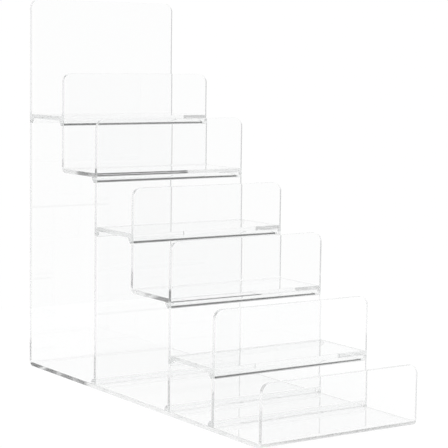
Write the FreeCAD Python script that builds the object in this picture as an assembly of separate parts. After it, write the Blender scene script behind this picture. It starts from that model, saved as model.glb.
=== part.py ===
"""Clear acrylic nail polish rack: six tiers, bent and bonded from 3 mm sheet.

Frame: millimetres, +Z up, customers stand on the -Y side, +X is their right hand.
Origin: on the resting surface, in the middle of the rack's width and depth.

How it goes together
  - The base sheet is one strip bent twice: back panel, floor and front lip.
  - An upper and a lower tray are each bent once: a lip and riser that turn into a shelf.
  - Three flat risers stand on the floor. Three flat bridge shelves span between a panel
    behind them and a riser in front.
  - Small clear chamfered strips are bonded into the corners under shelves and behind risers.
"""
import FreeCAD, Part
import os
from FreeCAD import Vector

# ---- Driving dimensions ---------------------------------------------------------------
rack_width = 125.0         # along X, every sheet is cut to it
sheet = 3.0                # thickness of all sheets
bend_inside = 1.5          # inside radius of a hot-line bend
corner_radius = 6.5        # rounded top corners of lips, risers and back panel
step_height = 38.1         # rise from one tier's top face to the next
bridge_pitch = 50.8        # panel to panel, middle to middle, where a bridge shelf spans
tray_pitch = 49.0          # riser to riser where a tray's own shelf spans
front_pitch = 52.6         # riser to riser and riser to front lip at the two lowest tiers
short_lip = 31.6           # lips of the upper and lower tray, above the shelf behind them
tall_lip = 38.1            # lips of the flat risers and the front lip
back_height = 86.1         # back panel above the top shelf
strip_leg = 3.8            # width and height of the corner strips
strip_tip = 1.5            # what is left of a strip's outer sides beside its chamfer
bond_gap = 0.0             # clearance at a bonded joint: solvent cement leaves none

# ---- Tiers, counted from the top shelf (1) down to the floor (6) -------------------------
TIERS = 6
FLOOR_TIER = TIERS
tier_pitches = {1: bridge_pitch, 2: tray_pitch, 3: bridge_pitch, 4: tray_pitch,
                5: front_pitch, 6: front_pitch}
lip_heights = {1: short_lip, 2: tall_lip, 3: short_lip, 4: tall_lip,
               5: tall_lip, 6: tall_lip}
bend_outside = bend_inside + sheet
overall_depth = sum(tier_pitches.values()) + sheet
back_plane = overall_depth / 2 - sheet / 2     # middle plane of the back panel, in Y


def shelf_top(tier):
    """Height of the face that the bottles of a tier stand on."""
    return sheet + (FLOOR_TIER - tier) * step_height


def panel_y(index):
    """Middle plane of a panel: 0 is the back panel, n is the panel in front of tier n."""
    return back_plane - sum(tier_pitches[tier] for tier in range(1, index + 1))


def front_face(index):
    return panel_y(index) - sheet / 2


def back_face(index):
    return panel_y(index) + sheet / 2


def lip_top(tier):
    """Top edge of the panel in front of a tier."""
    return shelf_top(tier) + lip_heights[tier]


back_top = shelf_top(1) + back_height


# ---- Shapes -----------------------------------------------------------------------------
def extrude_profile(points_and_arcs):
    """Extrude a closed outline in the YZ plane over the rack's width.

    The outline is a list of (y, z) points; an arc is a ("arc", middle, end) entry.
    """
    left = -rack_width / 2
    edges = []
    here = Vector(left, *points_and_arcs[0])
    start = here
    for entry in points_and_arcs[1:]:
        if entry[0] == "arc":
            middle, end = Vector(left, *entry[1]), Vector(left, *entry[2])
            edges.append(Part.Arc(here, middle, end).toShape())
        else:
            end = Vector(left, *entry)
            edges.append(Part.LineSegment(here, end).toShape())
        here = end
    edges.append(Part.LineSegment(here, start).toShape())
    face = Part.Face(Part.Wire(edges))
    return face.extrude(Vector(rack_width, 0, 0))


def bend_arc(centre_y, centre_z, radius, start_side, end_side):
    """A quarter bend about a centre, from one side of it to the next.

    Each side is a (y, z) unit direction; the arc ends at the end side.
    """
    half_y, half_z = start_side[0] + end_side[0], start_side[1] + end_side[1]
    scale = radius / (half_y ** 2 + half_z ** 2) ** 0.5
    middle = (centre_y + half_y * scale, centre_z + half_z * scale)
    end = (centre_y + end_side[0] * radius, centre_z + end_side[1] * radius)
    return ("arc", middle, end)


def round_top_corners(solid, panel_index, top):
    """Round the two upper corners of an upright panel."""
    def is_corner(edge):
        box = edge.BoundBox
        along_y = box.YLength > sheet / 2 and box.ZLength < 0.01 and box.XLength < 0.01
        at_top = abs(box.ZMax - top) < 0.01
        on_panel = abs(edge.CenterOfMass.y - panel_y(panel_index)) < 0.01
        return along_y and at_top and on_panel
    corners = [edge for edge in solid.Edges if is_corner(edge)]
    return solid.makeFillet(corner_radius, corners)


def flat_riser(index):
    """A flat panel from the floor's top face to the lip top of its tier."""
    height = lip_top(index) - sheet
    plate = Part.makeBox(rack_width, sheet, height,
                         Vector(-rack_width / 2, front_face(index), sheet + bond_gap))
    return round_top_corners(plate, index, lip_top(index))


def bridge_shelf(tier):
    """A flat shelf between the panel behind it and the riser in front of it."""
    front = back_face(tier) + bond_gap
    back = front_face(tier - 1) - bond_gap
    return Part.makeBox(rack_width, back - front, sheet,
                        Vector(-rack_width / 2, front, shelf_top(tier) - sheet))


def bent_tray(tier):
    """Lip and riser in front of a tier, bent forward at the bottom into the next shelf."""
    riser_front, riser_back = front_face(tier), back_face(tier)
    top = lip_top(tier)
    shelf = shelf_top(tier + 1)
    shelf_front = back_face(tier + 1) + bond_gap
    bend_y, bend_z = riser_front - bend_inside, shelf + bend_inside
    outline = [
        (riser_front, top),
        (riser_back, top),
        (riser_back, bend_z),
        bend_arc(bend_y, bend_z, bend_outside, (1, 0), (0, -1)),
        (shelf_front, shelf - sheet),
        (shelf_front, shelf),
        (bend_y, shelf),
        bend_arc(bend_y, bend_z, bend_inside, (0, -1), (1, 0)),
    ]
    return round_top_corners(extrude_profile(outline), tier, top)


def base_sheet():
    """Back panel, floor and front lip in one piece, bent twice."""
    back_out, back_in = back_face(0), front_face(0)
    lip_out, lip_in = front_face(FLOOR_TIER), back_face(FLOOR_TIER)
    front_top = lip_top(FLOOR_TIER)
    bend_z = sheet + bend_inside
    rear_bend, lip_bend = back_in - bend_inside, lip_in + bend_inside
    outline = [
        (back_in, back_top),
        (back_out, back_top),
        (back_out, bend_z),
        bend_arc(rear_bend, bend_z, bend_outside, (1, 0), (0, -1)),
        (lip_bend, 0),
        bend_arc(lip_bend, bend_z, bend_outside, (0, -1), (-1, 0)),
        (lip_out, front_top),
        (lip_in, front_top),
        (lip_in, bend_z),
        bend_arc(lip_bend, bend_z, bend_inside, (-1, 0), (0, -1)),
        (rear_bend, sheet),
        bend_arc(rear_bend, bend_z, bend_inside, (0, -1), (1, 0)),
    ]
    bent = extrude_profile(outline)
    bent = round_top_corners(bent, 0, back_top)
    return round_top_corners(bent, FLOOR_TIER, front_top)


def corner_strip(corner_y, corner_z, side_y, side_z):
    """A square strip with its outer edge chamfered, in a corner that opens to side_y and side_z."""
    tip = strip_tip
    leg = strip_leg
    return extrude_profile([
        (corner_y, corner_z),
        (corner_y + side_y * leg, corner_z),
        (corner_y + side_y * leg, corner_z + side_z * tip),
        (corner_y + side_y * tip, corner_z + side_z * leg),
        (corner_y, corner_z + side_z * leg),
    ])


# ---- The pieces -------------------------------------------------------------------------
pieces = {
    "base_sheet_with_back_and_lip": base_sheet(),
    "upper_tray_bent_sheet": bent_tray(1),
    "lower_tray_bent_sheet": bent_tray(3),
}

riser_names = {2: "tall_riser", 4: "middle_riser", 5: "short_riser"}
for index, name in riser_names.items():
    pieces[name] = flat_riser(index)
    pieces[f"floor_strip_behind_{name}"] = corner_strip(back_face(index), sheet, 1, 1)

bridge_names = {1: "top_shelf", 3: "middle_shelf", 5: "bottom_shelf"}
for tier, name in bridge_names.items():
    underside = shelf_top(tier) - sheet
    pieces[name] = bridge_shelf(tier)
    pieces[f"rear_strip_under_{name}"] = corner_strip(front_face(tier - 1), underside, -1, -1)

shelf_names = {**bridge_names, 2: "upper_tray", 4: "lower_tray"}
for tier in range(1, FLOOR_TIER):
    underside = shelf_top(tier) - sheet
    strip = corner_strip(back_face(tier), underside, 1, -1)
    pieces[f"front_strip_under_{shelf_names[tier]}"] = strip

os.makedirs("parts", exist_ok=True)
for name, solid in pieces.items():
    box = solid.BoundBox
    print(f"{name}: valid {solid.isValid()}, {solid.Volume:.0f} mm3, "
          f"y {box.YMin:.2f}..{box.YMax:.2f}, z {box.ZMin:.2f}..{box.ZMax:.2f}")
    solid.exportStep(f"parts/{name}.step")
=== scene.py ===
# %% [markdown]
# # A clear acrylic nail polish rack
# Six tiers step up towards a tall back panel. Everything is cut from one clear sheet: a long base
# sheet that is bent twice, two bent trays, three flat risers and three flat shelves. Small
# chamfered strips hold the joints from below. The design gives every size and place. This script
# remakes each piece with soft polished edges and true bends, and gives it a clear finish.

# %% The frame that the design gives
from math import pi, radians

import bmesh
import bpy
from mathutils import Matrix, Vector


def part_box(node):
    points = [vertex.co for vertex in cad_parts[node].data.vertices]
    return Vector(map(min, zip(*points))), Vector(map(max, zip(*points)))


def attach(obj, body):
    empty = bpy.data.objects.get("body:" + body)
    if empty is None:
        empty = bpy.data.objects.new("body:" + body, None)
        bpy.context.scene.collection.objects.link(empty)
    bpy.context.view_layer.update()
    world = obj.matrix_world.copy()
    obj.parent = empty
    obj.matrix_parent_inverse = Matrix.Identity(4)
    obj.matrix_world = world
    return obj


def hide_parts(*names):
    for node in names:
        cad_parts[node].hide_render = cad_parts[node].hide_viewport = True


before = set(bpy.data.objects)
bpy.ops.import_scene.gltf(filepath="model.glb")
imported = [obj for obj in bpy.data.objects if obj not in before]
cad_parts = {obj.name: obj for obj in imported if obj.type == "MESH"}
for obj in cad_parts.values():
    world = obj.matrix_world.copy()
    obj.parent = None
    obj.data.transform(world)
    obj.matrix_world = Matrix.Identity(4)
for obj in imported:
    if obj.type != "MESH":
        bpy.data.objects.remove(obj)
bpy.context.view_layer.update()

# %% [markdown]
# Clear parts show their edges and hide their faces, so a few small sizes decide how they look:
# the radius of the polished edges, the bend radius and the corner radius. They are a shop's usual
# values for 3 mm sheet. A cemented joint has no air in it, so light crosses it as if it weren't
# there. Two clear solids that only touch leave a doubtful film between them. Each cemented face
# here bites a hundredth of a millimetre into its neighbour, and light then crosses it cleanly.

# %% Sizes of the finish
MM = 0.001
CORNER_RADIUS = 6.5 * MM     # rounded top corners
BEND_INSIDE = 1.5 * MM       # inside radius of a hot-line bend
POLISH_RADIUS = 0.25 * MM    # edges after scraping and flame polishing
BOND_BITE = 0.01 * MM        # how far a cemented face reaches into its neighbour
WELD = 0.001 * MM            # points closer than this are one point
BEND_STEPS = 16
CORNER_STEPS = 12
POLISH_STEPS = 2

base_low, base_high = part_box("base_sheet_with_back_and_lip")
riser_low, riser_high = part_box("tall_riser")
bottom_low, bottom_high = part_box("bottom_shelf")
SHEET = riser_high.y - riser_low.y
WIDTH = base_high.x - base_low.x
LIP_HEIGHT = bottom_high.z - riser_low.z      # the front lip is one step high
print(f"sheet {SHEET / MM:.2f} mm, width {WIDTH / MM:.1f} mm, front lip {LIP_HEIGHT / MM:.1f} mm")

# %% [markdown]
# ## The camera
# The rack is seen from the left front, a little above its top shelf. A long lens from a good metre
# away keeps the uprights nearly parallel. The place is measured from the rack's own frame. The
# matrix is built from turns about fixed axes, because that is how a camera on a tripod is set.

# %% Camera
CAMERA_AT = Vector((-0.62203, -0.93101, 0.24248))
CAMERA_YAW = radians(34.266)      # turned from straight ahead towards the rack's right
CAMERA_DOWN = radians(6.167)
CAMERA_ROLL = radians(0.812)
CAMERA_LENS = 128.16              # mm
SENSOR_WIDTH = 36.0               # mm
NEAREST, FARTHEST = 0.05, 50.0    # metres from the lens

camera_data = bpy.data.cameras.new("camera")
camera_data.lens = CAMERA_LENS
camera_data.sensor_width = SENSOR_WIDTH
camera_data.clip_start = NEAREST
camera_data.clip_end = FARTHEST
camera = bpy.data.objects.new("camera", camera_data)
bpy.context.scene.collection.objects.link(camera)
camera.matrix_world = (Matrix.Translation(CAMERA_AT)
                       @ Matrix.Rotation(-CAMERA_YAW, 4, "Z")
                       @ Matrix.Rotation(pi / 2 - CAMERA_DOWN, 4, "X")
                       @ Matrix.Rotation(CAMERA_ROLL, 4, "Z"))
bpy.context.scene.camera = camera
print(f"camera {CAMERA_AT.length:.2f} m from the rack, lens {CAMERA_LENS} mm")

# %% [markdown]
# ## Tools for the bench
# The same few moves make every piece: start from a primitive at its size and place, select edges or
# faces by where they are, run the edit operator, and finish the shading. Blender's operators act on
# whatever is selected, so each helper clears the selection first.

# %% Starting a piece and picking its edges
def start_block(name, low, high):
    """A block between two corners, as the active object."""
    bpy.ops.object.select_all(action="DESELECT")
    bpy.ops.mesh.primitive_cube_add(size=1.0, location=(low + high) / 2, scale=high - low)
    bpy.ops.object.transform_apply(location=True, rotation=False, scale=True)
    block = bpy.context.active_object
    block.name = block.data.name = name
    return block


def select_edges(piece, wanted):
    """In edit mode, selects the edges that wanted(edge) accepts, and only those."""
    bpy.ops.mesh.select_mode(type="EDGE")
    bpy.ops.mesh.select_all(action="DESELECT")
    mesh = bmesh.from_edit_mesh(piece.data)
    for edge in mesh.edges:
        edge.select = bool(wanted(edge))
    mesh.select_flush_mode()
    bmesh.update_edit_mesh(piece.data)
    return sum(edge.select for edge in mesh.edges)


def middle(edge):
    return (edge.verts[0].co + edge.verts[1].co) / 2


# %% [markdown]
# Two kinds of edge are bevelled. The top corners of an upright panel get a large radius, as they
# are cut in the flat sheet. Then every edge that is still square gets a tiny radius, which is what
# scraping and a flame leave. Real sheet has it all round, and it catches the light along the
# outline. The small steps round a bend aren't square, so the angle between two faces tells them
# apart.

# %% Rounding and polishing
CREASE = radians(40)         # a sharper edge than this counts as square


def is_crease(edge):
    """True for a square edge, and false for the small steps round a bend."""
    return len(edge.link_faces) == 2 and edge.calc_face_angle() > CREASE


def round_corners(piece, top, panel_y):
    """Rounds the two upper corners of an upright panel, as they are cut in the flat sheet."""
    bpy.ops.object.mode_set(mode="EDIT")

    def is_corner(edge):
        run = edge.verts[1].co - edge.verts[0].co
        at = middle(edge)
        return (abs(run.y) > SHEET / 2 and abs(abs(at.x) - WIDTH / 2) < POLISH_RADIUS
                and abs(at.z - top) < POLISH_RADIUS and abs(at.y - panel_y) < SHEET)

    found = select_edges(piece, is_corner)
    bpy.ops.mesh.bevel(offset=CORNER_RADIUS, segments=CORNER_STEPS, affect="EDGES")
    bpy.ops.object.mode_set(mode="OBJECT")
    print(f"{piece.name}: {found} corners rounded")


def polish_edges(piece, keeps_square=lambda at: False):
    """Softens the square edges, except those that keeps_square(middle of the edge) leaves."""
    bpy.ops.object.mode_set(mode="EDIT")
    found = select_edges(piece, lambda e: is_crease(e) and not keeps_square(middle(e)))
    bpy.ops.mesh.bevel(offset=POLISH_RADIUS, segments=POLISH_STEPS, affect="EDGES")
    bpy.ops.object.mode_set(mode="OBJECT")
    print(f"{piece.name}: {found} edges polished")


# %% [markdown]
# A glassy piece shows any error in its shading as a bent reflection. Smooth shading alone would
# bend the light on the flat faces beside a small radius. Weighted normals let the large faces
# decide, so they stay dead flat and only the radius looks round. Each piece is then measured: an
# open edge or a wrong volume would send light astray.

# %% Shading and measuring
SMOOTH_BELOW = radians(50)   # a softer edge than this is shaded as a curve
FLAT_WEIGHT = 100            # the most that a large face can count


def finish_shading(piece):
    """Smooth bends beside dead flat faces: the large faces decide the normals."""
    bpy.ops.object.select_all(action="DESELECT")
    piece.select_set(True)
    bpy.context.view_layer.objects.active = piece
    bpy.ops.object.shade_smooth_by_angle(angle=SMOOTH_BELOW)
    flat = piece.modifiers.new("flat_faces", "WEIGHTED_NORMAL")
    flat.keep_sharp = True
    flat.weight = FLAT_WEIGHT
    bpy.ops.object.modifier_apply(modifier=flat.name)


def report(piece):
    """Prints a piece's size and volume, and how many edges are left open."""
    mesh = bmesh.new()
    mesh.from_mesh(piece.data)
    open_edges = sum(not edge.is_manifold for edge in mesh.edges)
    volume = mesh.calc_volume(signed=True) / MM ** 3
    x, y, z = (side / MM for side in piece.dimensions)
    print(f"{piece.name}: {x:.1f} x {y:.1f} x {z:.1f} mm, {volume:.0f} mm3, "
          f"{len(mesh.faces)} faces, {open_edges} open edges")
    mesh.free()


# %% [markdown]
# ## Flat risers
# A riser is a plain panel with two rounded top corners. It could be drawn as an outline and
# thickened. A block with two bevelled edges gives the same shape with fewer steps, and its corner
# arcs come out even. The foot is cemented to the floor, so its edges stay square and bite into it.

# %% Risers
def make_riser(node):
    low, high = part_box(node)
    riser = start_block(node + "_panel", low - Vector((0, 0, BOND_BITE)), high)
    round_corners(riser, high.z, (low.y + high.y) / 2)
    polish_edges(riser, lambda at: at.z < low.z + POLISH_RADIUS)
    finish_shading(riser)
    return riser


pieces = {}
for node in ("tall_riser", "middle_riser", "short_riser"):
    pieces[node] = make_riser(node)
    report(pieces[node])

# %% [markdown]
# ## Flat shelves
# Three shelves bridge between the panel behind and the riser in front. Each is a plain block, which
# needs no other method. Both long edges are cemented, so only the edges of the two ends are
# polished.

# %% Bridge shelves
def make_shelf(node):
    low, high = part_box(node)
    reach = Vector((0, BOND_BITE, 0))
    shelf = start_block(node + "_panel", low - reach, high + reach)
    polish_edges(shelf, lambda at: abs(abs(at.x) - WIDTH / 2) > POLISH_RADIUS)
    finish_shading(shelf)
    return shelf


for node in ("top_shelf", "middle_shelf", "bottom_shelf"):
    pieces[node] = make_shelf(node)
    report(pieces[node])

# %% [markdown]
# ## Bent sheets
# The base and the trays are bent over a hot line from flat strips. A block could be cut to an L and
# bevelled, but its inside and outside corners would need two radii that agree. Spin sweeps the
# sheet's own cross-section round the bend's centre, so both arcs share that centre, as they do on
# the real sheet. The section starts as a plane at the top edge, runs straight down, turns, and runs
# on.

# %% Bending by extrude and spin
def start_section(name, panel_y, top):
    """The sheet's cross-section, lying flat at the top edge of an upright panel."""
    bpy.ops.object.select_all(action="DESELECT")
    bpy.ops.mesh.primitive_plane_add(size=1.0, location=(0, panel_y, top))
    section = bpy.context.active_object
    section.name = section.data.name = name
    section.scale = (WIDTH, SHEET, 1.0)
    bpy.ops.object.transform_apply(location=True, rotation=False, scale=True)
    bpy.ops.object.mode_set(mode="EDIT")
    bpy.ops.mesh.select_mode(type="FACE")
    bpy.ops.mesh.select_all(action="SELECT")
    return section


def run_straight(step):
    bpy.ops.mesh.extrude_region_move(TRANSFORM_OT_translate={"value": step})


def bend_quarter(centre):
    """Turns the end of the sheet a quarter turn, from down to forward or forward to up."""
    bpy.ops.mesh.spin(steps=BEND_STEPS, angle=pi / 2, center=centre, axis=(1, 0, 0))


def close_sheet():
    """Welds the steps of the sweep and faces everything outwards."""
    bpy.ops.mesh.select_all(action="SELECT")
    bpy.ops.mesh.remove_doubles(threshold=WELD)
    bpy.ops.mesh.normals_make_consistent(inside=False)
    bpy.ops.object.mode_set(mode="OBJECT")


# %% [markdown]
# A tray has one bend. Its lip and riser hang in front of the tier behind, and its shelf runs
# forward to the next riser. The two trays differ only in their place, so one function makes both
# from the design's boxes. The front edge is cemented, so it stays square.

# %% Trays
def make_tray(node):
    """Lip and riser, bent forward at the bottom into a shelf."""
    low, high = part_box(node)
    riser_y = high.y - SHEET / 2
    turn = Vector((0, high.y - SHEET - BEND_INSIDE, low.z + SHEET + BEND_INSIDE))
    tray = start_section(node + "_panel", riser_y, high.z)
    run_straight((0, 0, turn.z - high.z))
    bend_quarter(turn)
    run_straight((0, low.y - BOND_BITE - turn.y, 0))
    close_sheet()
    round_corners(tray, high.z, riser_y)
    polish_edges(tray, lambda at: at.y < low.y + POLISH_RADIUS)
    finish_shading(tray)
    return tray


for node in ("upper_tray_bent_sheet", "lower_tray_bent_sheet"):
    pieces[node] = make_tray(node)
    report(pieces[node])

# %% [markdown]
# The base has two bends and no cemented edge of its own. Its sweep runs down the back, forward
# along the floor and up the front lip. Both ends of the sweep have rounded corners, so they are
# rounded one after the other, each found by its own height.

# %% The base
def make_base(node):
    """Back panel, floor and front lip in one strip."""
    low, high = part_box(node)
    back_y = high.y - SHEET / 2
    lip_y = low.y + SHEET / 2
    lip_top = riser_low.z + LIP_HEIGHT
    turn_z = low.z + SHEET + BEND_INSIDE
    rear_turn = Vector((0, high.y - SHEET - BEND_INSIDE, turn_z))
    front_turn = Vector((0, low.y + SHEET + BEND_INSIDE, turn_z))
    base = start_section(node + "_panel", back_y, high.z)
    run_straight((0, 0, turn_z - high.z))
    bend_quarter(rear_turn)
    run_straight((0, front_turn.y - rear_turn.y, 0))
    bend_quarter(front_turn)
    run_straight((0, 0, lip_top - turn_z))
    close_sheet()
    round_corners(base, high.z, back_y)
    round_corners(base, lip_top, lip_y)
    polish_edges(base)
    finish_shading(base)
    return base


node = "base_sheet_with_back_and_lip"
pieces[node] = make_base(node)
report(pieces[node])

# %% [markdown]
# ## Corner strips
# Clear square bar with one edge chamfered is cemented into the corner under each shelf and behind
# each riser's foot. The chamfer could be cut with bisect. Bevel keeps both ends closed in the same
# step. The other strips are copies, turned so that their square corner meets the joint.

# %% The first strip
STRIP_TIP = 1.5 * MM         # what is left of the outer sides beside the chamfer
STRIP_LOW, STRIP_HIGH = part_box("front_strip_under_top_shelf")


def make_strip(name, low, high):
    """A bar with a chamfered outer edge: its square corner is at its low Y and high Z."""
    bar = start_block(name, Vector((low.x, low.y - BOND_BITE, low.z)),
                      Vector((high.x, high.y, high.z + BOND_BITE)))
    outer = Vector((0, high.y, low.z))
    bpy.ops.object.mode_set(mode="EDIT")
    select_edges(bar, lambda e: (middle(e) - outer).length < POLISH_RADIUS)
    bpy.ops.mesh.bevel(offset=high.y - low.y - STRIP_TIP, segments=1, affect="EDGES")
    bpy.ops.object.mode_set(mode="OBJECT")
    return bar


first_strip = make_strip("strip", STRIP_LOW, STRIP_HIGH)
report(first_strip)


# %% Copies of the strip, turned to their corners
QUARTER_TURNS = {"front": 0, "floor": 1, "rear": -1}


def copy_strip(node):
    """A copy in a node's place, turned about its length by whole quarter turns."""
    low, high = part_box(node)
    turns = QUARTER_TURNS[node.split("_")[0]]
    strip = first_strip.copy()
    strip.data = first_strip.data.copy()
    strip.name = strip.data.name = node + "_bar"
    bpy.context.scene.collection.objects.link(strip)
    home = (STRIP_LOW + STRIP_HIGH) / 2
    strip.data.transform(Matrix.Translation((low + high) / 2)
                         @ Matrix.Rotation(turns * pi / 2, 4, "X")
                         @ Matrix.Translation(-home))
    return strip


for node in sorted(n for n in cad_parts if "_strip_" in n):
    pieces[node] = copy_strip(node)
    finish_shading(pieces[node])
    report(pieces[node])
bpy.data.objects.remove(first_strip)

# %% [markdown]
# ## The clear finish
# Cast acrylic has a refractive index of 1.49 and a trace of tint, so a face nearly vanishes and the
# edges do the drawing. It is a glassy surface and not a see-through coat of paint, because the
# black lines in the rack come from light that is turned inside the plastic. One recipe serves three
# finishes. Noise in the piece's own space drives a faint haze and a wave far too shallow to see, but
# enough to keep a long reflection from being ruler straight. The sheet has slow, even waves. The
# cut edges have fine streaks from scraping, a soft satin shine, and hold back a little more light.
# The strip is drawn through a die, so its streaks run along it.

# %% Clear acrylic from nodes
SHEET_TINT = (0.98, 0.982, 0.982, 1.0)
EDGE_TINT = (0.943, 0.947, 0.947, 1.0)
REFRACTIVE_INDEX = 1.49
NOISE_DETAIL = 3.0


def clear_acrylic(name, tint, pattern_scale, haze, wave):
    """Clear plastic. The scale is per metre along X, Y and Z, and haze is a roughness range."""
    material = bpy.data.materials.new(name)
    material.use_nodes = True
    nodes, links = material.node_tree.nodes, material.node_tree.links
    shader = nodes["Principled BSDF"]
    shader.inputs["Base Color"].default_value = tint
    shader.inputs["Transmission Weight"].default_value = 1.0
    shader.inputs["IOR"].default_value = REFRACTIVE_INDEX

    place = nodes.new("ShaderNodeTexCoord")
    mapping = nodes.new("ShaderNodeMapping")
    mapping.inputs["Scale"].default_value = pattern_scale
    pattern = nodes.new("ShaderNodeTexNoise")
    pattern.inputs["Scale"].default_value = 1.0
    pattern.inputs["Detail"].default_value = NOISE_DETAIL
    to_haze = nodes.new("ShaderNodeMapRange")
    to_haze.inputs["To Min"].default_value, to_haze.inputs["To Max"].default_value = haze
    bump = nodes.new("ShaderNodeBump")
    bump.inputs["Distance"].default_value = wave

    links.new(place.outputs["Object"], mapping.inputs["Vector"])
    links.new(mapping.outputs["Vector"], pattern.inputs["Vector"])
    links.new(pattern.outputs["Fac"], to_haze.inputs["Value"])
    links.new(to_haze.outputs["Result"], shader.inputs["Roughness"])
    links.new(pattern.outputs["Fac"], bump.inputs["Height"])
    links.new(bump.outputs["Normal"], shader.inputs["Normal"])
    print(f"{name}: roughness {haze[0]} to {haze[1]}, waves {wave / MM} mm")
    return material


# %% The three finishes
sheet_finish = clear_acrylic("clear_sheet", SHEET_TINT, pattern_scale=(35, 35, 35),
                             haze=(0.0, 0.01), wave=0.002 * MM)
edge_finish = clear_acrylic("polished_edge", EDGE_TINT, pattern_scale=(300, 300, 1500),
                            haze=(0.10, 0.25), wave=0.0005 * MM)
strip_finish = clear_acrylic("drawn_strip", SHEET_TINT, pattern_scale=(20, 600, 600),
                             haze=(0.0, 0.03), wave=0.0005 * MM)

# %% [markdown]
# The edge finish goes on the faces that a saw left: both ends of every sheet, and the top of every
# lip. They are found by the way they face. A bend also faces up along a line, so faces inside a
# bend's height are left out.

# %% Finishes on the pieces
SQUARE_ON = 0.9              # how squarely a face must look along an axis to be a cut edge


def is_cut_edge(face, bend_top):
    facing = face.normal
    return abs(facing.x) > SQUARE_ON or (facing.z > SQUARE_ON and face.center.z > bend_top)


def finish_sheet(node, sheet):
    """The sheet finish all over, and the edge finish where a saw went."""
    sheet.data.materials.append(sheet_finish)
    sheet.data.materials.append(edge_finish)
    bend_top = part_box(node)[0].z + SHEET + BEND_INSIDE
    for face in sheet.data.polygons:
        face.material_index = int(is_cut_edge(face, bend_top))


def finish_strip(strip):
    strip.data.materials.append(strip_finish)


for node, piece in pieces.items():
    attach(piece, "root")
    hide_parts(node)
    if "_strip_" in node:
        finish_strip(piece)
    else:
        finish_sheet(node, piece)
print(len(pieces), "pieces finished")

# %% [markdown]
# ## Table and light
# Clear plastic is drawn by what stands round it, so the surroundings are laid out like a product
# studio. The rack stands on a white table before a white wall, and both are just bright enough to
# come out plain white. The table's paint scatters little, and most of its white is its own glow.
# A table of plain white paint would look right too, but light reaches it through many clear sheets,
# so it would come out speckled. Its grain only changes the roughness, and is too fine to see.

# %% White table
TABLE_SIZE = 0.8             # metres
TABLE_DROP = 0.2 * MM        # a little air under the rack
TABLE_GLOW = 0.955
TABLE_PAINT = 0.1
GRAIN_PER_METRE = 900.0
GRAIN_ROUGHNESS = (0.8, 1.0)

bpy.ops.object.select_all(action="DESELECT")
bpy.ops.mesh.primitive_plane_add(size=TABLE_SIZE, location=(0, 0, -TABLE_DROP))
floor = bpy.context.active_object
floor.name = "white_table"
table_finish = bpy.data.materials.new("white_table")
table_finish.use_nodes = True
nodes, links = table_finish.node_tree.nodes, table_finish.node_tree.links
shader = nodes["Principled BSDF"]
shader.inputs["Base Color"].default_value = (TABLE_PAINT, TABLE_PAINT, TABLE_PAINT, 1.0)
shader.inputs["Specular IOR Level"].default_value = 0.0
shader.inputs["Emission Color"].default_value = (1.0, 1.0, 1.0, 1.0)
shader.inputs["Emission Strength"].default_value = TABLE_GLOW
place = nodes.new("ShaderNodeTexCoord")
grain = nodes.new("ShaderNodeTexNoise")
grain.inputs["Scale"].default_value = GRAIN_PER_METRE
to_rough = nodes.new("ShaderNodeMapRange")
to_rough.inputs["To Min"].default_value, to_rough.inputs["To Max"].default_value = GRAIN_ROUGHNESS
links.new(place.outputs["Object"], grain.inputs["Vector"])
links.new(grain.outputs["Fac"], to_rough.inputs["Value"])
links.new(to_rough.outputs["Result"], shader.inputs["Roughness"])
floor.data.materials.append(table_finish)
print(f"table {TABLE_SIZE} m square, {TABLE_DROP / MM} mm below the rack")

# %% [markdown]
# The wall ends at the back on the rack's left. The grey room beyond it shows in the sheets' right
# ends, which mirror it. A soft box hangs over the left side. The ceiling on the right is dark, and
# the strips and bends turn it into the rack's black lines. Lamps could light a real wall and
# ceiling. A sky that is painted by direction does the same with no edges and less noise. Each pair
# below says where one thing gives way to the next, along X (right), Y (back) or Z (up) of a
# direction one unit long.

# %% Studio light, painted by direction
WALL, GREY_ROOM = 1.003, 0.60
SOFT_BOX, DARK_CEILING = 0.95, 0.05
ROOM_TO_WALL_X = (-0.45, -0.20)
WALL_TO_ROOM_Y = (0.10, 0.45)
BOX_TO_DARK_X = (-0.15, 0.15)
WALLS_TO_CEILING_Z = (0.67, 0.80)

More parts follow.
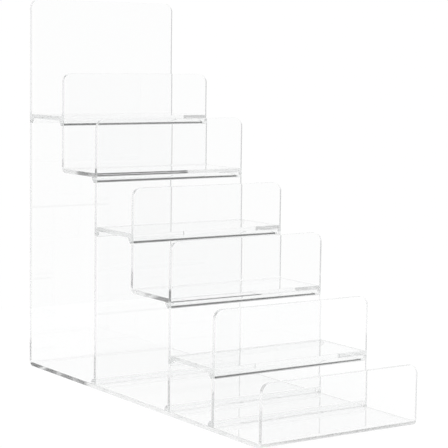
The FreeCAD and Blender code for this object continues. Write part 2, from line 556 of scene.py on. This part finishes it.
world = bpy.data.worlds.new("studio")
bpy.context.scene.world = world
world.use_nodes = True
nodes, links = world.node_tree.nodes, world.node_tree.links
background = nodes["Background"]
background.inputs["Color"].default_value = (1.0, 1.0, 1.0, 1.0)
direction = nodes.new("ShaderNodeTexCoord")
split = nodes.new("ShaderNodeSeparateXYZ")
links.new(direction.outputs["Generated"], split.inputs["Vector"])


def fade(axis, reach, before=0.0, after=1.0):
    """A smooth change from one value to another, over a reach of the direction's X, Y or Z."""
    step = nodes.new("ShaderNodeMapRange")
    step.interpolation_type = "SMOOTHSTEP"
    step.inputs["From Min"].default_value, step.inputs["From Max"].default_value = reach
    step.inputs["To Min"].default_value = before
    step.inputs["To Max"].default_value = after
    links.new(split.outputs[axis], step.inputs["Value"])
    return step.outputs["Result"]


def mix(factor, first, second):
    """Goes from the first value to the second as the factor goes from 0 to 1."""
    blend = nodes.new("ShaderNodeMix")
    links.new(factor, blend.inputs["Factor"])
    links.new(first, blend.inputs["A"])
    links.new(second, blend.inputs["B"])
    return blend.outputs["Result"]


# %% Wall, grey room and ceiling put together
wall = nodes.new("ShaderNodeValue").outputs["Value"]
wall.default_value = WALL
wall_and_room = fade("X", ROOM_TO_WALL_X, GREY_ROOM, WALL)
walls = mix(fade("Y", WALL_TO_ROOM_Y), wall, wall_and_room)
ceiling = fade("X", BOX_TO_DARK_X, SOFT_BOX, DARK_CEILING)
studio = mix(fade("Z", WALLS_TO_CEILING_Z), walls, ceiling)
links.new(studio, background.inputs["Strength"])
print(f"wall {WALL}, grey room {GREY_ROOM}, soft box {SOFT_BOX}, dark ceiling {DARK_CEILING}")

# %% [markdown]
# A plain view transform keeps the white wall white. Light is turned many times inside a sheet
# before it comes out, so the bounces are set high. A third as many would leave the rounded corners
# and the front bend much too dark.

# %% View and bounces
BOUNCES = 160
scene = bpy.context.scene
scene.view_settings.view_transform = "Standard"
scene.cycles.max_bounces = BOUNCES
scene.cycles.glossy_bounces = BOUNCES
scene.cycles.transmission_bounces = BOUNCES
print("light may turn", BOUNCES, "times")
